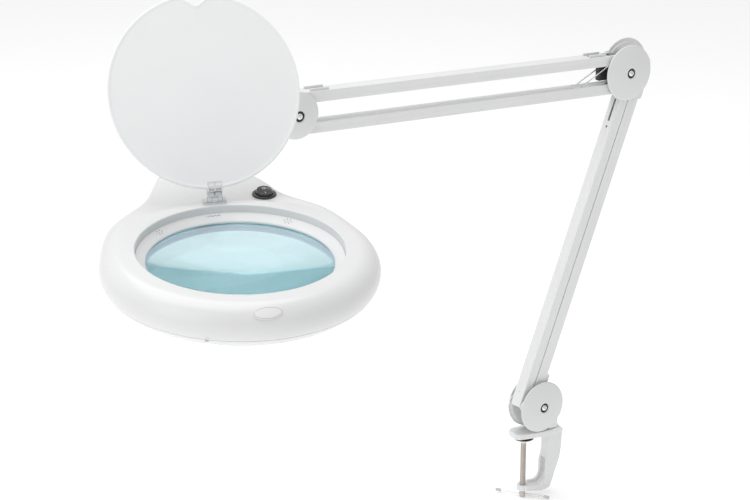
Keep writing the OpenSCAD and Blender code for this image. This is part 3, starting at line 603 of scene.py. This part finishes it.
def reach(angle):
    """Outer radius of the head in plan at an angle from local X: the ring, the neck's flank and its end."""
    a = angle % 360
    if a > 90:
        a = 180 - a if a < 180 else 0
    if a <= 0:
        return HEAD_R
    c, s = math.cos(math.radians(a)), math.sin(math.radians(a))
    ring = HEAD_R + 10.5 * ease((a - 14) / 34)
    neck = -smooth_max(-132.3 / (c + 0.427 * s), -228 / s, 12)
    return smooth_max(ring, neck, 26 * ease((a - 20) / 20))


def heights(out, r):
    """Top, middle and bottom of the shell at a radius, for an outline that reaches out there."""
    neck = ease((out - HEAD_R) / 30)
    top = RIM_Z - neck * (3.2 * ease((r - 110) / 9) + 2.5 * ease((r - 155) / 60))
    return top, -7 - neck, -28 + 2 * neck


def outer_arc(out, a):
    """A point of the rounded edge, a is 90 at the top, 0 at the widest place and -90 at the bottom."""
    top, mid, low = heights(out, out - EDGE_R)
    c, s = math.cos(math.radians(a)), math.sin(math.radians(a))
    return out - EDGE_R + EDGE_R * c, mid + ((top - mid) if s > 0 else (mid - low)) * s


def skin(section, count=360):
    """Joins one section per degree round the lens axis into a closed skin."""
    verts, faces = [], []
    for k in range(count):
        a = 360 * k / count
        line = section(reach(a))
        n = len(line)
        c, s = math.cos(math.radians(a)), math.sin(math.radians(a))
        verts += [(r * c + 7 * ease((r * s - 104) / 60), r * s, z) for r, z in line]
    for k in range(count):
        j = (k + 1) % count
        for i in range(n - 1):
            faces.append((k * n + i, j * n + i, j * n + i + 1, k * n + i + 1))
    return verts, faces


PART = math.degrees(math.asin(-11 / 21))


def upper_section(out):
    line = [(91.8, -3.1), (98.2, -3.1), (98.5, -2.8), (98.5, 12.9), (98.7, 13.5), (99.1, 13.85), (99.8, 14)]
    flat = out - EDGE_R
    for k in range(1, 25):
        r = 99.8 + (flat - 99.8) * k / 24
        line.append((r, heights(out, r)[0]))
    for k in range(1, 25):
        line.append(outer_arc(out, 90 - (90 - PART - 1.2) * k / 24))
    r, z = outer_arc(out, PART + 1.2)
    return line + [(r - 0.35, z - 0.3), (r - 1.2, z - 0.3), (r - 1.4, z + 0.8), (r - 3, z + 0.8)]


def lower_section(out):
    r, z = outer_arc(out, PART - 0.9)
    line = [(r - 3, z + 0.2), (r - 0.9, z + 0.2), (r - 0.3, z + 0.15)]
    flat = out - EDGE_R
    end = -90.0 if flat >= 119.9 else -math.degrees(math.acos((119.9 - flat) / EDGE_R))
    for k in range(0, 19):
        line.append(outer_arc(out, PART - 0.9 + (end - PART + 0.9) * k / 18))
    r, z = line[-1]
    for k in range(1, 9):
        line.append((r + (119.8 - r) * k / 8, z))
    return line + [(119.3, z + 0.4), (119.2, z + 1.0), (119.2, z + 3.5)]


verts, faces = skin(upper_section)
lens_seat = lathe(fillet([(91.8, -3.1), (91.8, -5.7), (89.6, -5.7), (89.6, -28), (91.8, -28), (91.8, -8.2),
                          (100, -8.2)], 0.4, closed=False), 180, closed=False)
tongue = slab(fillet([(-13, 205), (13, 205), (13, 245), (-13, 245)], 2.0), -17.5, 1.5, 2.5)
boss = placed(lathe(fillet([(3.05, -16.1), (11, -16.1), (11, 16.1), (3.05, 16.1)], 1.0), 64),
              move(0, NECK_LEN, MID_Z) @ turn("Y", 90))
verts, faces = joined((verts, faces), lens_seat, tongue, boss)
piece("head_upper_moulding", verts, faces, SHELL, "head", HEAD, ("head_upper_shell",), 40, merge=0.02)
verts, faces = skin(lower_section)
piece("head_lower_moulding", verts, faces, SHELL, "head", HEAD, ("head_lower_shell",), 40, merge=0.02)

# A thin lavender sheet just inside the white tube wall, painting the lens's reflection.
verts, faces = lathe([(89.58, -27.9), (89.58, -5.8), (89.45, -5.8), (89.45, -27.9)], 180)
piece("lens_tube_reflection_sheet", verts, faces, TUBE_PAINTED_REFLECTION, "head", HEAD)
# Teal ring at the lens's edge with a painted glow for the light coming through the glass.
verts, faces = lathe([(91.1, -4.9), (91.1, -2.2), (90.9, -2.2), (90.9, -4.9)], 180)
piece("lens_edge_painted_glow", verts, faces, EDGE_TINT_AND_GLOW, "head", HEAD)
ring = [(LENS_R, -1.2), (LENS_R, 0.1), (89.1, 0.9), (98.15, 6.4), (98.2, 6.2), (98.2, -2.8),
        (91.5, -2.8), (91.5, -1.2)]
verts, faces = lathe(fillet(ring, 0.35, steps=3), 220)
piece("lens_ring_moulding", verts, faces, SHELL, "head", HEAD, ("lens_ring",), 30)


def on_bezel(r, degrees):
    a = math.radians(degrees)
    return move(r * math.cos(a), r * math.sin(a), 0.9 + (r - 89.1) * 5.5 / 9.05 + 0.03)


# Flat dark discs on the bezel: painted shade of the vent holes.
dot = lathe([(0, 0.05), (0.55, 0.05), (0.65, 0)], 12, closed=False)
dots = []
for middle in (131, 47):
    for k, r in ((-1, 92.6), (1, 92.6), (-2, 94.4), (0, 94.4), (2, 94.4), (-1, 96.2), (1, 96.2)):
        dots.append(placed(dot, on_bezel(r, middle + k * 1.1) @ turn("Z", middle) @ turn("Y", -31)))
verts, faces = joined(*dots)
piece("bezel_vents", verts, faces, VENT, "head", HEAD)
arc = [on_bezel(95.5 + 0.5 * math.sin(1.2 * k), 88 + 0.5 * k).to_translation() for k in range(17)]
verts, faces = tube(arc, 0.28, 6)
piece("bezel_mark", verts, faces, VENT, "head", HEAD)


def lens_line():
    """Half the lens in section: flatter curve on top, deeper curve below, thin edge between."""
    rf = LENS_R + 2.6
    top, low = 7.0, 13.0
    tr, lr = (rf * rf + top * top) / (2 * top), (rf * rf + low * low) / (2 * low)
    radii = [rf * math.sin(math.pi / 2 * k / 40) for k in range(41)]
    line = [(r, -2 + top - tr + math.sqrt(tr * tr - r * r)) for r in radii]
    return line + [(r, -5 - low + lr - math.sqrt(lr * lr - r * r)) for r in reversed(radii)]


verts, faces = lathe(lens_line(), 180, closed=False)
piece("lens_polished", verts, faces, GLASS, "head", HEAD, ("lens",), 30)
ring = fillet([(93.9, -27.6), (119.1, -27.6), (119.1, -25.8), (93.9, -25.8)], 0.5)
verts, faces = lathe(ring, 180)
piece("diffuser_ring", verts, faces, FROST, "head", HEAD, ("diffuser",), 30)


def oval(length, width, n=48):
    angles = [2 * math.pi * k / n for k in range(n)]
    return [(length / 2 * math.cos(a), width / 2 * math.sin(a)) for a in angles]


edge = EDGE_R / math.sqrt(2)
BADGE = HEAD @ move(-6.5, -111 - edge, -7 + edge) @ turn("X", 45)
verts, faces = slab(oval(27, 12), -0.6, 0.75, 0.3)
piece("badge_blank_plate", verts, faces, PLATE, "head", BADGE, ("blank_badge",), 30)
verts, faces = tube([(12.6 * math.cos(a), 5.2 * math.sin(a), 0.72) for a in
                     [2 * math.pi * k / 64 for k in range(65)]], 0.22, 6)
piece("badge_rim_line", verts, faces, RIM, "head", BADGE)
a = math.radians(-117)
LATCH = HEAD @ move(131 * math.cos(a), 131 * math.sin(a), -18.1) @ turn("Z", -117)
verts, faces = block((1.6, 3.5, 0.7), 0.2)
piece("shell_latch", verts, faces, GREY, "head", LATCH)

# ---------------------------------------------------------------- switch
SWITCH = HEAD @ move(*SWITCH_AT, 0)
bezel = [(9.1, 2), (9.1, 12.9), (9.6, 13.05), (11.5, 13.0), (12.2, 12.2), (12.2, 10.9), (11.1, 10.6),
         (11.1, -7.8), (9.1, -7.8)]
verts, faces = lathe(fillet(bezel, 0.3, steps=3), 96)
piece("switch_bezel", verts, faces, GLOSS, "head", SWITCH, ("switch_body",), 30)
ROCK = HEAD @ move(*SWITCH_AT, SWITCH_Z) @ turn("X", 10)
side_line = [(ROCKER_R * math.cos(math.radians(a)), ROCKER_R * math.sin(math.radians(a)))
             for a in [-90 + 5.8 * k for k in range(20)]]
face_line = [(7.6 - 0.3 * k, 3.75 + 0.15 * math.cos(1.3 * k)) for k in range(3)]
dish = [(6.4 * (1 - k / 8), 3.35 + 0.25 * (1 - k / 8) ** 2) for k in range(9)]
verts, faces = lathe(side_line + [(7.85, 3.85)] + face_line + dish, 96, closed=False)
piece("rocker_cap", verts, faces, GLOSS, "rocker", ROCK, ("switch_rocker",), 40, merge=0.02)
round_the_mark = [2 * math.pi * k / 24 for k in range(25)]
ring_mark = tube([(1.5 * math.cos(a), 3.9 + 1.5 * math.sin(a), 3.5) for a in round_the_mark], 0.28, 6)
bar_mark = tube([(0, -2.6, 3.45), (0, -5.2, 3.55)], 0.3, 6)
verts, faces = joined(ring_mark, bar_mark)
piece("rocker_marks", verts, faces, MARK, "rocker", ROCK)

# ---------------------------------------------------------------- lid
LID_R, LID_C = 95.5, 105.5


def lid_edge(a):
    """Radius of the lid at an angle from local Y, with its finger notch."""
    a = (a + math.pi) % (2 * math.pi) - math.pi
    if math.cos(a) < 0.9:
        return LID_R
    across = LID_R * math.sin(a)
    notch = 84.6 + 0.95 * (math.sqrt(across ** 2 + 30) - math.sqrt(30))
    k = 0.9
    return -k * math.log(math.exp(-(LID_R - 80) / k) + math.exp(-(notch - 80) / k)) + 80


def lid_mesh(n=720):
    loops = [(60, 4.5), (30, 4.5), (12, 4.5), (3, 4.5), (1.2, 4.55), (0.45, 4.8), (0.06, 5.3), (0, 6.0),
             (0.06, 6.7), (0.45, 7.25), (1.0, 7.5), (2.1, 7.5), (2.7, 7.2), (4, 7.12), (12, 7.1),
             (30, 7.1), (60, 7.1)]
    verts, faces = [], []
    for inset, z in loops:
        for k in range(n):
            a = 2 * math.pi * k / n
            r = lid_edge(a)
            r = r - inset if inset < 5 else (LID_R - inset if inset > 13 else min(r - 5, LID_R - inset))
            verts.append((r * math.sin(a), LID_C + r * math.cos(a), z))
    for i in range(len(loops) - 1):
        for k in range(n):
            j = (k + 1) % n
            faces.append((i * n + k, i * n + j, (i + 1) * n + j, (i + 1) * n + k))
    faces.append(tuple(range(n)))
    faces.append(tuple(reversed(range((len(loops) - 1) * n, len(loops) * n))))
    return verts, faces


verts, faces = lid_mesh()
piece("lid_disc", verts, faces, LID_MAT, "lid", LID, ("lid",), 30)


def dimpled_tab(x0, x1, y0, y1, z, depth, rows):
    """A tab with two columns of square dimples."""
    bm = bmesh.new()
    xs = [x0 + (x1 - x0) * t for t in (0, 0.08, 0.46, 0.54, 0.92, 1)]
    pitch = (y1 - y0) / rows
    ys = [y0] + [y0 + pitch * (i + t) for i in range(rows) for t in (0.14, 0.86)] + [y1]
    grid = [[bm.verts.new((x, y, z)) for x in xs] for y in ys]
    pits = []
    for i in range(len(ys) - 1):
        for k in range(len(xs) - 1):
            f = bm.faces.new((grid[i][k], grid[i][k + 1], grid[i + 1][k + 1], grid[i + 1][k]))
            if i % 2 == 1 and k % 2 == 1:
                pits.append(f)
    for f in pits:
        made = bmesh.ops.extrude_discrete_faces(bm, faces=[f])["faces"]
        bmesh.ops.translate(bm, verts=made[0].verts, vec=(0, 0, -depth))
    walls = [e for e in bm.edges if len(e.link_faces) == 1 and all(abs(v.co.z - z) < 1e-6 for v in e.verts)]
    out = bmesh.ops.extrude_edge_only(bm, edges=walls)["geom"]
    bmesh.ops.translate(bm, verts=[g for g in out if isinstance(g, bmesh.types.BMVert)], vec=(0, 0, -2.6))
    bm.verts.index_update()
    verts = [tuple(v.co) for v in bm.verts]
    faces = [tuple(v.index for v in f.verts) for f in bm.faces]
    bm.free()
    return verts, faces


barrel = placed(lathe(fillet([(1.25, -2), (2.6, -2), (2.6, 2), (1.25, 2)], 0.3), 40), turn("Y", 90))
verts, faces = joined(
    dimpled_tab(-7.3, 7.3, 2.6, 7.4, 3.5, 1.2, 1),
    dimpled_tab(-7.3, 7.3, 7.4, 17.2, 7.75, 1.8, 2),
    placed(block((14.6, 8, 3.3), 0.5), move(0, 7.0, 1.85)),
    placed(block((14.6, 6.9, 4.4), 0.5), move(0, 11.3, 3.2)),
    placed(block((14.6, 10, 2.2), 0.5), move(0, 16.6, 3.2)),
    *[placed(barrel, move(x, 0, 0)) for x in (-5.2, 5.2)],
    *[placed(block((4, 4.6, 4.4), 0.4), move(x, 2.6, 0.3)) for x in (-5.2, 5.2)])
piece("lid_leaf_moulding", verts, faces, SHELL, "lid", LID, ("lid_hinge_leaf",), 30)
# Grey blocks on the pit floors of the leaf's dimples: painted shade of the pits.
dimple_shade_blocks = [placed(block((4.8, 3.2, 0.9), 0.2), move(x, y, z))
        for x in (-3.3, 3.3) for y, z in ((5.0, 2.5), (9.85, 6.25), (14.75, 6.25))]
verts, faces = joined(*dimple_shade_blocks)
piece("lid_leaf_dimple_shade", verts, faces, GREY, "lid", LID)
ear_line = fillet([(1.25, -1.95), (2.6, -1.95), (2.6, 1.95), (1.25, 1.95)], 0.3)
ear = placed(lathe(ear_line, 40), turn("Y", 90))
verts, faces = joined(
    placed(block((24, 12, 1.3), 0.4), move(0, 4, -3.35)),
    *[placed(ear, move(x, 0, 0)) for x in (-9.5, 9.5)],
    placed(ear, Matrix.Scale(1.5, 4, (1, 0, 0))),
    *[placed(block((3.9, 5, 3.6), 0.4), move(x, 1.2, -1.9)) for x in (-9.5, 0, 9.5)])
piece("hinge_base_moulding", verts, faces, SHELL, "head", HINGE, ("hinge_base",), 30)

# ---------------------------------------------------------------- carried-over CAD nodes
KEEP = {"base_pivot_pins": PLATED, "elbow_pivot_pins": PLATED, "head_knuckle_pins": PLATED,
        "hinge_pin": PLATED,
        "lower_main_bushes": BUSH, "lower_guide_bushes": BUSH, "upper_main_bushes": BUSH,
        "upper_guide_bushes": BUSH, "shell_screws": PLATED, "led_board": BOARD, "leds": LED}
for name, mat in KEEP.items():
    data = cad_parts[name].data
    data.materials.clear()
    data.materials.append(mat)

# ---------------------------------------------------------------- floor, light, camera
FLOOR_Z = cad_box[0].z - 0.0005
FLOOR_HALF = 14
mesh = bpy.data.meshes.new("floor")
corners = [(x * FLOOR_HALF, y * FLOOR_HALF, FLOOR_Z) for x, y in ((-1, -1), (1, -1), (1, 1), (-1, 1))]
mesh.from_pydata(corners, [], [(0, 1, 2, 3)])
dress(mesh, "floor", FLOOR, None)


def area(name, place, aim, size, power):
    lamp = bpy.data.lights.new(name, "AREA")
    lamp.shape = "RECTANGLE"
    lamp.size, lamp.size_y = size
    lamp.energy = power
    obj = bpy.data.objects.new(name, lamp)
    obj.location = place
    obj.rotation_euler = (Vector(aim) - Vector(place)).to_track_quat("-Z", "Y").to_euler()
    bpy.context.scene.collection.objects.link(obj)


area("top_softbox", (-0.6, 0.5, 2.6), (-0.2, 0.0, 0.3), (2.6, 2.2), 36)
area("left_softbox", (-2.6, -0.6, 1.3), (-0.2, 0, 0.3), (1.6, 2.0), 9)
world = bpy.data.worlds.new("studio")
world.use_nodes = True
world.node_tree.nodes["Background"].inputs["Color"].default_value = (1.0, 1.0, 1.0, 1)
world.node_tree.nodes["Background"].inputs["Strength"].default_value = 0.64
bpy.context.scene.world = world
bpy.context.scene.view_settings.view_transform = "Standard"
bpy.context.scene.view_settings.look = "None"

cam = bpy.data.cameras.new("camera")
cam.lens = 105.5
cam.sensor_width = 36
eye = bpy.data.objects.new("camera", cam)
eye.location = (-1.5248, -1.9062, 1.0776)
eye.rotation_mode = "QUATERNION"
eye.rotation_quaternion = Vector((0.5349, 0.7796, -0.3256)).to_track_quat("-Z", "Y")
bpy.context.scene.collection.objects.link(eye)
bpy.context.scene.camera = eye
